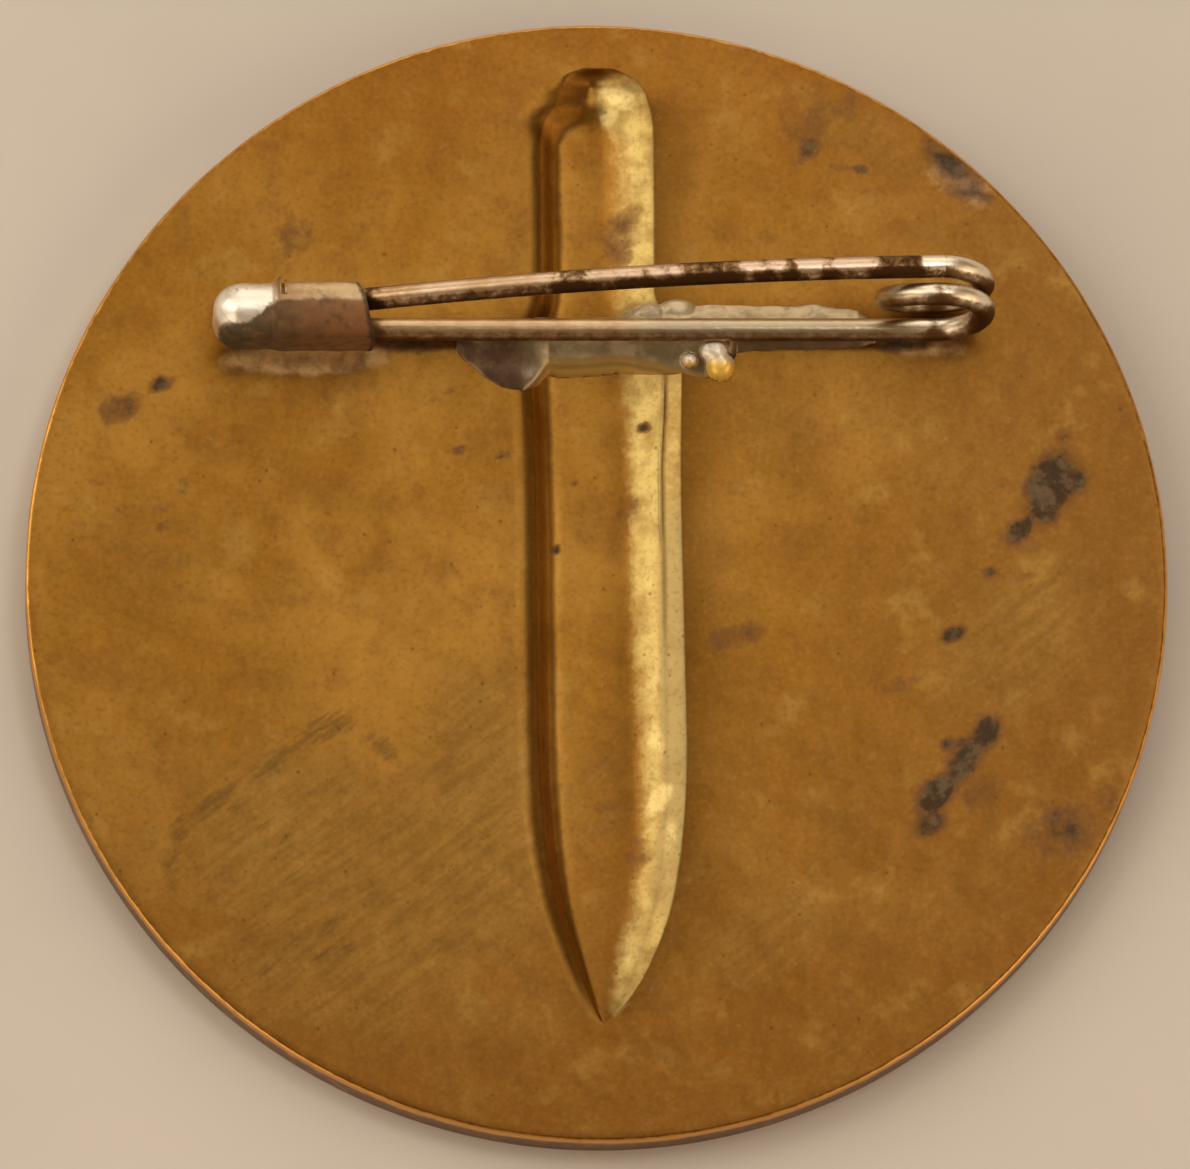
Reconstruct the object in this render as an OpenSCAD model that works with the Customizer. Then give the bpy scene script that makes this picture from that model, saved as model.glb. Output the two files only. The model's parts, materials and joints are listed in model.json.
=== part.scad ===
// Commemorative badge that lies face down, with its safety pin on the upper side.
// Origin at the disc's centre on the surface it rests on, +Z up, +Y to the top of the blade's grip.

/* [Disc] */
// Diameter of the disc
disc_d = 32; // [31:0.25:36]
// Thickness at the rim, from the front rim to the flat back
disc_t = 1.5; // [1.4:0.05:1.8]
// Width of the plain raised rim on the front
rim_w = 1; // [0.6:0.1:1.4]
// Height of the front rim above the front field
rim_h = 0.35; // [0.3:0.05:0.4]
// Rounding of the disc's two outer edges
edge_round = 0.12; // [0.05:0.01:0.2]

/* [Blade] */
// Depth of the sunken blade and grip in the back
recess_depth = 0.65; // [0.5:0.05:0.75]
// Height of the same blade where it stands out of the front field
relief_h = 0.28; // [0.15:0.01:0.29]

/* [Safety pin] */
// Diameter of the wire
wire_d = 0.64; // [0.58:0.01:0.66]
// Distance of the fixed wire above the disc's centre line
pin_y = 7.02; // [6.95:0.01:7.1]
// Height of the fixed wire's axis above the back
wire_h = 0.62; // [0.6:0.01:0.66]
// Place of the coil's centre to the right of the disc's centre
coil_x = 9.45; // [9.2:0.05:9.7]
// Radius of the coil, to the middle of the wire
coil_r = 1.36; // [1.3:0.01:1.42]
// Sideways step of one turn of the coil
coil_pitch = 0.79; // [0.75:0.01:0.85]

/* [Needle] */
// Angle at which the needle leaves the coil, upwards from level
needle_rise = 7.1; // [6.6:0.1:7.4]
// Angle between the needle and the fixed wire, seen from above
needle_turn = 2.6; // [2.4:0.1:2.8]
// Angle of the needle's bow, held down under tension
needle_bow = 22; // [21:0.5:23]
// Length of the needle from the coil to the start of the point
needle_len = 15.4; // [15.1:0.05:15.45]
// Length of the ground point
point_len = 2.4; // [1.8:0.1:2.4]

/* [Clasp hood] */
// Thickness of the hood's sheet metal
sheet_t = 0.2; // [0.15:0.01:0.22]
// Width of the hood across the wires
hood_w = 1.76; // [1.72:0.02:1.84]
// Height of the hood's roof above the back
hood_h = 3.25; // [3.15:0.05:3.35]
// Length of the roofed part, from the shoulder to the mouth
hood_len = 2.55; // [2.3:0.05:2.6]
// Height at which the open side starts, above the back
slot_low = 1.15; // [1.1:0.05:1.3]
// Angle above level at which the roof's folded edge ends
lip_angle = 50; // [45:1:56]

/* [Hidden] */

// Free space between two separate pieces
gap = 0.03;
// How far a cutting body reaches past what it cuts
over = 0.4;

round_fn = 96;
wire_fn = 24;
wire_r = wire_d / 2;
disc_r = disc_d / 2;
back = disc_t;

// Rows of the blade, from the grip's round end to the tip.
// Columns: place up the disc, left lip, foot of the left wall, foot of the right slope,
// ridge on the right slope, right lip, depth as a share of recess_depth
BLADE = [
    [14.72, -0.78, -0.66, -0.10, 0.35, 0.52, 0.06],
    [14.52, -1.00, -0.72, 0.00, 0.60, 0.90, 0.50],
    [14.25, -1.20, -0.80, 0.10, 0.76, 1.15, 0.92],
    [13.75, -1.42, -0.95, 0.20, 0.92, 1.42, 1.00],
    [13.05, -1.56, -1.04, 0.28, 0.99, 1.56, 1.00],
    [8.30, -1.58, -1.07, 0.33, 1.00, 1.57, 1.00],
    [6.70, -1.93, -1.40, 0.97, 1.82, 2.42, 1.00],
    [-1.50, -1.86, -1.36, 0.98, 1.85, 2.46, 1.00],
    [-4.80, -1.80, -1.34, 1.00, 1.85, 2.50, 1.00],
    [-6.80, -1.63, -1.22, 1.04, 1.80, 2.38, 1.00],
    [-8.40, -1.36, -1.03, 0.98, 1.62, 2.16, 0.96],
    [-9.60, -1.06, -0.81, 0.82, 1.38, 1.90, 0.86],
    [-10.60, -0.83, -0.63, 0.56, 1.06, 1.53, 0.72],
    [-11.50, -0.52, -0.38, 0.34, 0.72, 1.08, 0.52],
    [-12.20, -0.20, -0.12, 0.16, 0.38, 0.58, 0.28],
    [-12.62, 0.02, 0.04, 0.08, 0.14, 0.18, 0.06]
];
// Depth of the ridge on the right slope, as a share of the row's depth
ridge_share = 0.34;

// Rows of the solder, from left to right.
// Columns: place along the wire, lower edge, upper edge, height of its crest
SOLDER = [
    [-3.85, 6.50, 7.10, 0.16],
    [-3.40, 6.00, 7.25, 0.46],
    [-2.70, 5.58, 7.36, 0.66],
    [-2.00, 5.52, 7.40, 0.72],
    [-1.20, 5.95, 7.40, 0.74],
    [0.00, 6.05, 7.45, 0.74],
    [1.00, 6.00, 7.66, 0.78],
    [2.00, 5.84, 7.80, 0.82],
    [3.00, 5.72, 7.85, 0.82],
    [3.60, 5.86, 7.85, 0.80],
    [3.95, 6.48, 7.85, 0.76],
    [5.50, 6.64, 7.85, 0.74],
    [7.20, 6.66, 7.78, 0.66],
    [7.75, 6.80, 7.50, 0.30]
];
// Steps of the solder's domed section: share of the way from edge to crest, share of the height
DOME = [[0, 0], [0.12, 0.34], [0.4, 0.68], [0.72, 0.92], [1, 1]];
// Stretch of the recess that the solder fills, up the disc, and how far the filling stands out of it
plug_low = 6;
plug_high = 7.5;
plug_top = 2 * gap;

// Lean of each half turn of the coil, which moves the wire sideways
half_lean = asin(coil_pitch / 4 / coil_r);
coil_h = back + wire_h + coil_r * cos(half_lean);

// Where the needle leaves the coil, which is also its hinge point
root = [
    coil_x + coil_r * sin(needle_rise),
    pin_y + 1.25 * coil_pitch + coil_r * cos(needle_rise) * sin(half_lean),
    coil_h + coil_r * cos(needle_rise) * cos(half_lean)
];
// Straight start of the needle, and the open crack between it and the coil's end
stub_len = 0.8;
crack = 0.04;
// Short bands that join two stretches of wire, a hair thicker than the wire
band_len = 0.16;
band_r = wire_r + 0.012;
bow_r = needle_len / (needle_bow * PI / 180);
point_tip_r = 0.04;

// The hood's middle lies this far above the fixed wire, and its floor this far above the back
hood_shift = 0.21;
hood_lift = 0.04;
hood_y = pin_y + hood_shift;
hood_r = hood_w / 2;
hood_base = back + hood_lift;
hood_top_c = back + hood_h - hood_r;
shoulder_x = -8.95;
mouth_x = shoulder_x + hood_len;
// The closed nose is slimmer, lower and a little off the roof's middle
nose_slim = 0.08;
nose_drop = 0.37;
nose_shift = 0.03;
nose_r = hood_r - nose_slim;
nose_y = hood_y - nose_shift;
nose_x = -9.96;
nose_top_c = hood_top_c - nose_drop;
fixed_wire_end = -9.3;
// Narrow cut in the roof where its folded edge begins
relief_w = 0.16;
// The bodies that cut the open side and the narrow cut start this far beyond the hood's middle
slot_from = hood_r / 3;
relief_from = hood_r / 5;

// One row of a blade-shaped body: lips at the face, feet at the depth, and the top past the face
function blade_ring(row, depth, inset, top) =
    let (d = depth * row[6] - inset)
    [
        [row[5] - inset, row[0], top],
        [row[5] - inset, row[0], 0],
        [row[4] - inset, row[0], -d * ridge_share],
        [row[3] - inset, row[0], -d],
        [row[2] + inset, row[0], -d],
        [row[1] + inset, row[0], 0],
        [row[1] + inset, row[0], top]
    ];

// One row of the solder: a dome from its lower edge over the wire to its upper edge
function solder_ring(row, base) =
    let (last = len(DOME) - 1)
    concat(
        [for (s = DOME) [row[0], row[1] + (pin_y - row[1]) * s[0], base + row[3] * s[1]]],
        [for (i = [last - 1:-1:0])
            [row[0], row[2] + (pin_y - row[2]) * DOME[i][0], base + row[3] * DOME[i][1]]]
    );

// Closed body through rings of equal length, each clockwise as seen from the last one
module loft(rings) {
    n = len(rings[0]);
    last = len(rings) - 1;
    points = [for (ring = rings) for (p = ring) p];
    sides = [
        for (i = [0:last - 1])
            for (j = [0:n - 1])
                for (half = [0, 1])
                    let (a = i * n + j)
                    let (b = i * n + (j + 1) % n)
                    half == 0 ? [a, b, a + n] : [b, b + n, a + n]
    ];
    start = [for (j = [n - 1:-1:0]) j];
    end = [for (j = [0:n - 1]) last * n + j];
    polyhedron(points, concat([start], sides, [end]));
}

// The blade's form below a face at height 0, whole or only where it has its full depth
module blade_body(depth, top) {
    loft([for (row = BLADE) blade_ring(row, depth, 0, top)]);
}

module full_depth_body(depth, inset, top) {
    loft([for (row = BLADE) if (row[6] == 1) blade_ring(row, depth, inset, top)]);
}

module disc_blank() {
    rotate_extrude($fn = round_fn)
        difference() {
            union() {
                square([disc_r - edge_round, disc_t]);
                translate([0, edge_round])
                    square([disc_r, disc_t - 2 * edge_round]);
                for (h = [edge_round, disc_t - edge_round])
                    translate([disc_r - edge_round, h])
                        circle(edge_round, $fn = wire_fn);
            }
            square([disc_r - rim_w, rim_h]);
        }
}

module disc() {
    color("#a06a28") {
        difference() {
            disc_blank();
            translate([0, 0, back])
                blade_body(recess_depth, over);
        }
        translate([0, 0, rim_h])
            blade_body(relief_h, rim_h / 2);
    }
}

// Half a turn of the coil, whose far end lies one half pitch further along
module half_turn(y_mid, lean, from, sweep) {
    translate([coil_x, y_mid, coil_h])
        rotate([90 - lean, 0, 0])
            rotate([0, 0, from])
                rotate_extrude(angle = sweep, $fn = round_fn)
                    translate([coil_r, 0])
                        circle(wire_r, $fn = wire_fn);
}

module solder() {
    loft([for (row = SOLDER) solder_ring(row, back + gap)]);
    intersection() {
        translate([0, 0, back])
            full_depth_body(recess_depth, gap, plug_top);
        translate([-disc_r, plug_low, 0])
            cube([disc_d, plug_high - plug_low, back + over]);
    }
}

// Joins two half turns of the coil
module band(y, z) {
    translate([coil_x, y, z])
        rotate([0, 90, 0])
            cylinder(h = band_len, r = band_r, center = true, $fn = wire_fn);
}

module pin_wire() {
    color("#8d7a62") {
        translate([fixed_wire_end, pin_y, back + wire_h])
            rotate([0, 90, 0])
                cylinder(h = coil_x - fixed_wire_end, r = wire_r, $fn = wire_fn);
        half_turn(pin_y + coil_pitch / 4, half_lean, -90, 180);
        half_turn(pin_y + coil_pitch * 3 / 4, -half_lean, 90, 180);
        half_turn(pin_y + coil_pitch * 5 / 4, half_lean, -90, 180 - needle_rise);
        band(pin_y, back + wire_h);
        band(pin_y + coil_pitch / 2, 2 * coil_h - back - wire_h);
        band(pin_y + coil_pitch, back + wire_h);
        solder();
    }
}

// Upright rounded slab between two heights, from one place along X to another
module stadium(from, to, y, low, top_c, r) {
    translate([from, y, 0])
        rotate([90, 0, 90])
            linear_extrude(to - from)
                union() {
                    translate([-r, low + r])
                        square([2 * r, top_c - low - r]);
                    for (h = [low + r, top_c])
                        translate([0, h])
                            circle(r, $fn = round_fn);
                }
}

// The hood's solid form, drawn in by t on every side, with the mouth end at x_end
module hood_form(t, x_end) {
    stadium(shoulder_x + t, x_end, hood_y, hood_base + t, hood_top_c, hood_r - t);
    stadium(nose_x, shoulder_x + 2 * t + gap, nose_y, hood_base + t, nose_top_c, nose_r - t);
    translate([nose_x, nose_y, 0]) {
        for (h = [hood_base + nose_r, nose_top_c])
            translate([0, 0, h])
                sphere(nose_r - t, $fn = round_fn);
        translate([0, 0, hood_base + nose_r])
            cylinder(h = nose_top_c - hood_base - nose_r, r = nose_r - t, $fn = round_fn);
    }
}

module clasp_hood() {
    color("#b9a78c")
        difference() {
            hood_form(0, mouth_x);
            hood_form(sheet_t, mouth_x + over);
            // the open side, from its lower edge to the roof's folded edge
            translate([shoulder_x, hood_y, 0])
                rotate([90, 0, 90])
                    linear_extrude(hood_len + over)
                        polygon([
                            [slot_from, back + slot_low],
                            [hood_w, back + slot_low],
                            [hood_w, hood_top_c + hood_w * tan(lip_angle)],
                            [slot_from, hood_top_c + slot_from * tan(lip_angle)]
                        ]);
            translate([shoulder_x - gap, hood_y + relief_from, back + slot_low])
                cube([relief_w, hood_w, hood_h]);
        }
}

module pin_arm() {
    color("#7c6750")
        translate(root)
            rotate([0, 0, 180 + needle_turn])
                rotate([0, -needle_rise, 0]) {
                    translate([crack, 0, 0])
                        rotate([0, 90, 0])
                            cylinder(h = stub_len + band_len / 2 - crack, r = band_r, $fn = wire_fn);
                    translate([stub_len, 0, -bow_r])
                        rotate([90, 0, 0])
                            rotate([0, 0, 90 - needle_bow])
                                rotate_extrude(angle = needle_bow, $fn = 10 * round_fn)
                                    translate([bow_r, 0])
                                        circle(wire_r, $fn = wire_fn);
                    translate([stub_len + bow_r * sin(needle_bow), 0, bow_r * (cos(needle_bow) - 1)])
                        rotate([0, 90 + needle_bow, 0])
                            translate([0, 0, -band_len])
                                cylinder(h = point_len + band_len, r1 = band_r, r2 = point_tip_r, $fn = wire_fn);
                }
}

disc();
pin_wire();
clasp_hood();
pin_arm();
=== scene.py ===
# Commemorative badge that lies face down: the look of its struck bronze disc and of its soldered safety pin.
# Sizes are in millimetres and become metres where a mesh is made.
import json
import math

import bpy
import numpy as np
from mathutils import Matrix, Vector


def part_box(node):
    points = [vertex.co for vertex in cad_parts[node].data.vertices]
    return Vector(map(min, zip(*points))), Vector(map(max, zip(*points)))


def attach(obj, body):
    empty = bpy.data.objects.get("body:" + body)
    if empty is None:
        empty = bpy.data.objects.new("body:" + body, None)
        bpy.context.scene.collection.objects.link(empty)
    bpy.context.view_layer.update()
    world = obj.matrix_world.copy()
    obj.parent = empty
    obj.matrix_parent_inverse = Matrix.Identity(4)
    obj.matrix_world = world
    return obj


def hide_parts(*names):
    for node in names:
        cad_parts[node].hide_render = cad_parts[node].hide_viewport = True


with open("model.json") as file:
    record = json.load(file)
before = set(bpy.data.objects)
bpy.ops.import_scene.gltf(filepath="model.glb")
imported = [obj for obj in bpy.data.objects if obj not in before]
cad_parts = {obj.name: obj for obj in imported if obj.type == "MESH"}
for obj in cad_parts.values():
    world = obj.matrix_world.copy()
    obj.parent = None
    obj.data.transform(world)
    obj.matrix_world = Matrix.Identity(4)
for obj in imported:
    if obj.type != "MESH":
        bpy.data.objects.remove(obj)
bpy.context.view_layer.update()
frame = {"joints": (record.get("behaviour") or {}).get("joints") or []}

MM = 0.001

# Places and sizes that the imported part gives
DISC_R, _, BACK = np.array(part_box("disc")[1]) / MM
HINGE = frame["joints"][0]
ROOT = np.array(HINGE["pos_m"]) / MM
ROOT_AXIS = np.array(HINGE["axis"])

# The disc
EDGE_ROUND = 0.12
RIM_W = 1.0
RIM_H = 0.35
RECESS_DEPTH = 0.65
RELIEF_H = 0.28
RIDGE_SHARE = 0.34
# How soft each edge of the blade is: left lip, left foot, foot of the right slope, ridge, right lip
EDGE_SOFT = (0.12, 0.11, 0.2, 0.05, 0.05)
# How much softer the two left edges are in the grip's round end
END_SOFT = 1.8
# Where along Y the grip starts, where its round end starts, and where that end's softer edges stop
GRIP_START = (6.7, 8.3)
GRIP_END = (12.6, 13.6)
END_SOFT_STOP = (13.7, 14.4)
# Rows of the blade, from its tip to the grip's round end. Columns: place along Y, left lip, left foot, foot
# of the right slope, ridge on it, right lip, depth as a share of RECESS_DEPTH
BLADE = np.array([
    [-12.62, 0.02, 0.04, 0.08, 0.14, 0.18, 0.03],
    [-12.2, -0.2, -0.13, 0.1, 0.38, 0.58, 0.28],
    [-11.5, -0.48, -0.38, 0.22, 0.72, 1.08, 0.52],
    [-10.6, -0.78, -0.66, 0.38, 1.06, 1.53, 0.72],
    [-9.6, -1.09, -0.95, 0.64, 1.38, 1.9, 0.86],
    [-8.4, -1.34, -1.18, 0.92, 1.62, 2.16, 0.96],
    [-6.8, -1.54, -1.35, 1.08, 1.8, 2.36, 1.0],
    [-4.8, -1.64, -1.42, 1.02, 1.84, 2.45, 1.0],
    [-1.5, -1.67, -1.43, 0.9, 1.83, 2.41, 1.0],
    [3.0, -1.69, -1.46, 0.8, 1.81, 2.36, 1.0],
    [6.7, -1.8, -1.56, 0.58, 1.79, 2.42, 1.0],
    [8.3, -1.47, -1.16, 0.4, 1.08, 1.66, 1.0],
    [12.3, -1.47, -1.15, 0.36, 1.08, 1.68, 1.0],
    [12.9, -1.44, -1.12, 0.28, 1.06, 1.67, 0.98],
    [13.2, -1.37, -1.0, 0.18, 1.04, 1.65, 0.96],
    [13.45, -1.22, -0.6, 0.1, 1.01, 1.61, 0.93],
    [13.7, -1.07, -0.22, 0.06, 0.97, 1.55, 0.9],
    [14.1, -0.94, -0.08, 0.08, 0.88, 1.38, 0.82],
    [14.42, -0.8, -0.06, 0.1, 0.7, 1.12, 0.68],
    [14.58, -0.64, -0.05, 0.1, 0.56, 0.88, 0.4],
    [14.72, -0.36, -0.02, 0.1, 0.4, 0.62, 0.03],
])

# The safety pin's wire
WIRE_R = 0.32
PIN_Y = 7.02
WIRE_H = 0.62
COIL_X = 9.45
COIL_R = 1.36
COIL_PITCH = 0.79
WIRE_LEFT = -9.3
NEEDLE_RISE = 7.1
NEEDLE_BOW = 22.0
NEEDLE_STUB = 0.8
NEEDLE_LEN = 15.4
POINT_LEN = 2.4
POINT_R = 0.04
WIRE_SIDES = 32
# How far the coil winds, in degrees, the step along the fixed wire, and counts of points on coil, needle, end
COIL_TURN = 540
WIRE_STEP, COIL_POINTS, NEEDLE_POINTS, END_POINTS = 0.12, 150, 190, 8

# The clasp hood
SHEET_T = 0.2
HOOD_R = 0.88
HOOD_Y = PIN_Y + 0.21
HOOD_BASE = BACK + 0.04
HOOD_TOP = BACK + 3.25
SHOULDER_X = -8.95
MOUTH_X = -6.4
NOSE_R = 0.8
NOSE_X = -9.96
NOSE_Y = HOOD_Y - 0.03
NOSE_DROP = 0.45
SLOT_LOW = BACK + 1.15
LIP_ANGLE = 50.0
CUT_ANGLE = 78.0
CUT_W = 0.16
# The painted shade, with dirt in it, on the hood's near side ends at this place along Y, on the nose and on
# the roof
NOSE_SHADE_AND_DIRT_Y = 6.72
ROOF_SHADE_AND_DIRT_Y = 7.26
SHADE_AND_DIRT_BLEND = 0.16


# Helpers

def placed(name, data):
    """A new object in the scene."""
    made = bpy.data.objects.new(name, data)
    bpy.context.scene.collection.objects.link(made)
    return made


def give_values(mesh, layers):
    """Stores named values at the mesh's points, one for each point."""
    for layer, values in layers.items():
        attribute = mesh.attributes.new(layer, "FLOAT", "POINT")
        attribute.data.foreach_set("value", np.asarray(values, np.float32).ravel())


def finish_mesh(name, points, faces, material, layers):
    """A mesh object from points in millimetres, with smooth faces and named values at its points."""
    mesh = bpy.data.meshes.new(name)
    mesh.from_pydata((np.asarray(points) * MM).tolist(), [], faces)
    mesh.shade_smooth()
    give_values(mesh, layers)
    mesh.materials.append(material)
    mesh.validate()
    return placed(name, mesh)


def plain_mesh(piece):
    """Applies the modifiers that the piece still has and takes them off."""
    bpy.context.view_layer.update()
    graph = bpy.context.evaluated_depsgraph_get()
    mesh = bpy.data.meshes.new_from_object(piece.evaluated_get(graph))
    mesh.name = piece.name
    piece.modifiers.clear()
    piece.data = mesh
    return piece


# How many waves make up a ripple
WAVES = 7


def ripple(x, y, size, seed):
    """Smooth seeded unevenness between about -1 and 1, with swells about one size apart."""
    draw = np.random.default_rng(seed)
    total = 0.0
    for _ in range(WAVES):
        turn, phase = draw.uniform(0, 2 * math.pi, 2)
        pace = 2 * math.pi / size * draw.uniform(0.6, 1.5)
        total = total + np.cos(pace * (x * math.cos(turn) + y * math.sin(turn)) + phase)
    return total / math.sqrt(WAVES / 2) / 1.6


def smooth_step(low, high, value):
    share = np.clip((value - low) / (high - low), 0, 1)
    return share * share * (3 - 2 * share)


def within(start, stop, value):
    """Rises from 0 to 1 over the span start and falls back over the span stop."""
    return smooth_step(*start, value) * (1 - smooth_step(*stop, value))


# The blade's form

def blade_row(y):
    """The blade's five edges and its depth share at the places y, on smooth curves through the rows."""
    place = BLADE[:, 0]
    values = BLADE[:, 1:]
    step = np.diff(place)[:, None]
    rise = np.diff(values, axis=0) / step
    inner = (rise[1:] + rise[:-1]) / 2 * (rise[1:] * rise[:-1] > 0)
    slope = np.vstack([rise[:1], inner, rise[-1:]])
    y = np.clip(y, place[0], place[-1])
    i = np.clip(np.searchsorted(place, y) - 1, 0, len(place) - 2)
    t = ((y - place[i]) / (place[i + 1] - place[i]))[:, None]
    h = step[i]
    return (
        (2 * t**3 - 3 * t**2 + 1) * values[i] + (t**3 - 2 * t**2 + t) * h * slope[i]
        + (3 * t**2 - 2 * t**3) * values[i + 1] + (t**3 - t**2) * h * slope[i + 1]
    )


def blade_share(x, y):
    """Depth at each point as a share of the full depth. x is a table with one row for each place y."""
    row = blade_row(y)
    depth = row[:, 5:6]
    inside = ((y > BLADE[0, 0]) & (y < BLADE[-1, 0]))[:, None]
    soft = np.array(EDGE_SOFT) * np.clip(depth, 0.1, 1)
    soft[:, :2] *= 1 + END_SOFT * within(GRIP_END, END_SOFT_STOP, y)[:, None]
    past = [soft[:, k:k + 1] * np.logaddexp(0, (x - row[:, k:k + 1]) / soft[:, k:k + 1]) for k in range(5)]

    def ramp(start, end):
        return (past[start] - past[end]) / (row[:, end] - row[:, start])[:, None]

    total = ramp(0, 1) - (1 - RIDGE_SHARE) * ramp(2, 3) - RIDGE_SHARE * ramp(3, 4)
    return np.clip(total, 0, 1) * depth * inside


# Tables of oval marks on the disc's back. Columns: place along X and Y, half length, half width, angle,
# strength. First the dark stains, some of which are painted shade under the hood, the fixed wire and the coil
STAINS = [
    # upper right, towards the rim
    (10.15, 11.85, 1.3, 0.5, -44, 0.72), (10.55, 11.15, 0.85, 0.25, -12, 0.62),
    (6.09, 12.43, 0.42, 0.4, 0, 0.66), (6.1, 12.85, 1.25, 0.75, 80, 0.36),
    (6.7, 13.45, 1.8, 1, -20, 0.24), (7.54, 11.81, 0.26, 0.17, 0, 0.8),
    (6.95, 11.85, 0.6, 0.14, 5, 0.34), (4.8, 9.8, 0.38, 0.32, 0, 0.32),
    (8.1, 11.2, 0.75, 0.25, 20, 0.24), (9.2, 10, 0.35, 0.3, 0, 0.24),
    # left
    (-8.5, 10.05, 0.75, 0.65, 0, 0.34), (-13.37, 4.95, 0.72, 0.46, 22, 0.66),
    (-12.22, 5.58, 0.36, 0.26, 30, 1), (-14, 2.77, 0.28, 0.2, 0, 0.36),
    (-11.6, 2.56, 0.55, 0.17, 52, 0.36), (-12.2, 2.05, 0.6, 0.22, 20, 0.4),
    (-12.17, 1.46, 0.24, 0.2, 0, 0.62), (-13.1, 2.05, 0.5, 0.22, 10, 0.28),
    # between the hood and the blade
    (-3.99, 5.4, 0.17, 0.15, 0, 0.5), (-4.5, 5.08, 0.17, 0.14, 0, 0.34),
    (-3.79, 3.69, 0.14, 0.12, 0, 0.8), (-2.59, 3.56, 0.22, 0.12, 10, 0.95),
    (-3.2, 2.8, 0.2, 0.16, 0, 0.36), (-4.3, -3, 0.12, 0.12, 0, 0.7),
    # under the hood and the fixed wire: partly dirt, partly painted shade
    (-8, 6.15, 1.75, 0.4, 0, 0.3), (-10.1, 5.95, 0.45, 0.2, 0, 0.36),
    (-7.2, 5.3, 1, 0.45, 10, 0.26), (-5.1, 6.7, 1.5, 0.26, 0, 0.7),
    # right
    (12.72, 2.65, 1.38, 0.74, 68, 0.98), (13.5, 2.75, 0.45, 0.4, 60, 0.8),
    (13.2, 4.1, 0.6, 0.28, 60, 0.4), (11.9, 1.4, 0.72, 0.42, 38, 0.76),
    (12.2, 0.95, 0.6, 0.25, 10, 0.34), (11.35, 2.75, 0.4, 0.3, 0, 0.32),
    (10.99, 0.19, 0.28, 0.22, -30, 0.95), (12, 0.1, 0.75, 0.13, 0, 0.36),
    (9.97, -1.58, 0.46, 0.26, 35, 0.98),
    # lower right
    (10.84, -4.4, 0.72, 0.46, 60, 0.92), (9.83, -4.7, 0.3, 0.24, 0, 0.8),
    (10.2, -5.22, 0.92, 0.56, 52, 0.88), (9.43, -6.12, 0.9, 0.46, 50, 0.95),
    (9.25, -7.03, 0.62, 0.36, 40, 0.84), (10.68, -6.02, 0.75, 0.52, 50, 0.5),
    (12.9, -7.2, 1.15, 0.9, 20, 0.55), (14.3, -6.2, 0.8, 0.35, 50, 0.3),
    # right of the blade and in it
    (3.83, -1.65, 0.95, 0.42, 10, 0.58), (8.45, -3, 0.95, 0.26, 25, 0.28),
    (0.75, 9.85, 0.95, 0.66, 80, 0.48), (0.95, 9.35, 0.4, 0.28, 80, 0.4),
    (1.05, -7.9, 0.8, 0.4, 80, 0.3), (1.35, 4.44, 0.2, 0.18, 0, 0.98),
    (-0.63, 2.9, 0.11, 0.1, 0, 0.8), (-1.13, 0.97, 0.19, 0.12, 80, 0.9),
    (0.85, 2.1, 0.55, 0.38, 60, 0.36), (0.3, -6.5, 0.85, 0.6, 60, 0.28),
    # under the coil: painted shadow of the coil, and dirt
    (8.35, 6.72, 0.6, 0.26, 0, 0.98), (9.1, 6.75, 0.5, 0.26, 0, 0.62),
    (9.9, 6.55, 0.6, 0.4, 20, 0.42),
]
# Strokes of an old fingermark
GRIME = [
    # the arc round the fingermark
    (-11.9, -8.2, 0.85, 0.38, 92, 0.7), (-11.7, -7.1, 0.55, 0.34, 70, 0.85),
    (-10.7, -6.35, 0.95, 0.3, 40, 0.95), (-9.15, -5.25, 1.15, 0.36, 38, 0.8),
    (-7.6, -4.3, 1.1, 0.44, 22, 0.9), (-6.1, -4.75, 0.65, 0.36, -38, 0.9),
    # inside it
    (-10, -6.45, 0.6, 0.18, 30, 0.7), (-9.2, -6.95, 0.9, 0.24, 36, 0.5),
    (-8.8, -7.45, 0.7, 0.24, 30, 0.55), (-8.5, -8.55, 0.5, 0.24, 40, 0.6),
    (-6.85, -8.65, 0.4, 0.2, 75, 0.6), (-6.7, -6.9, 0.8, 0.24, 60, 0.45),
    # below it
    (-7.5, -9.9, 0.65, 0.24, 38, 0.85), (-7.35, -10.6, 0.7, 0.2, 20, 0.75),
    (-9.1, -11, 0.6, 0.22, 30, 0.7), (-10, -10.4, 0.6, 0.3, 20, 0.45),
    (-5.7, -9, 0.9, 0.3, 40, 0.35),
]
# Spots painted bright as highlights, in the grip's end and down the slope to the tip
PAINTED_HIGHLIGHTS = [
    (0.47, 13.42, 0.3, 0.28, 70, 0.95), (0.72, 13.95, 0.6, 0.34, -30, 0.9),
    (1.45, 0, 1.4, 0.2, 90, 0.24), (1.55, -2.6, 1.6, 0.22, 90, 0.34),
    (1.64, -4.6, 0.8, 0.26, 95, 0.5), (1.7, -6.2, 0.62, 0.36, 60, 0.75),
    (1.95, -7.3, 0.6, 0.28, 80, 0.45), (1, -10.3, 1, 0.34, 75, 0.4),
]
# Brown shade in the grip's end
SHADE = [
    (-0.5, 14.05, 0.85, 0.46, 84, 0.85), (-0.85, 13.55, 0.5, 0.4, 45, 0.6),
    (-1.7, 14, 1.2, 0.8, 80, 0.3),
]
# Greyish dirt without shine, under the hood, under the coil and at the rim; under the hood it is also painted
# light that lifts the hood's shadow
DULL_DIRT_AND_LIGHT = [
    (-8.3, 6.28, 2.25, 0.46, 0, 1), (-8, 6.6, 2.1, 0.3, 0, 1),
    (9.2, 6.7, 1.4, 0.35, 0, 0.55), (10.3, 11.4, 1.3, 0.6, -35, 0.45),
]
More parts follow.
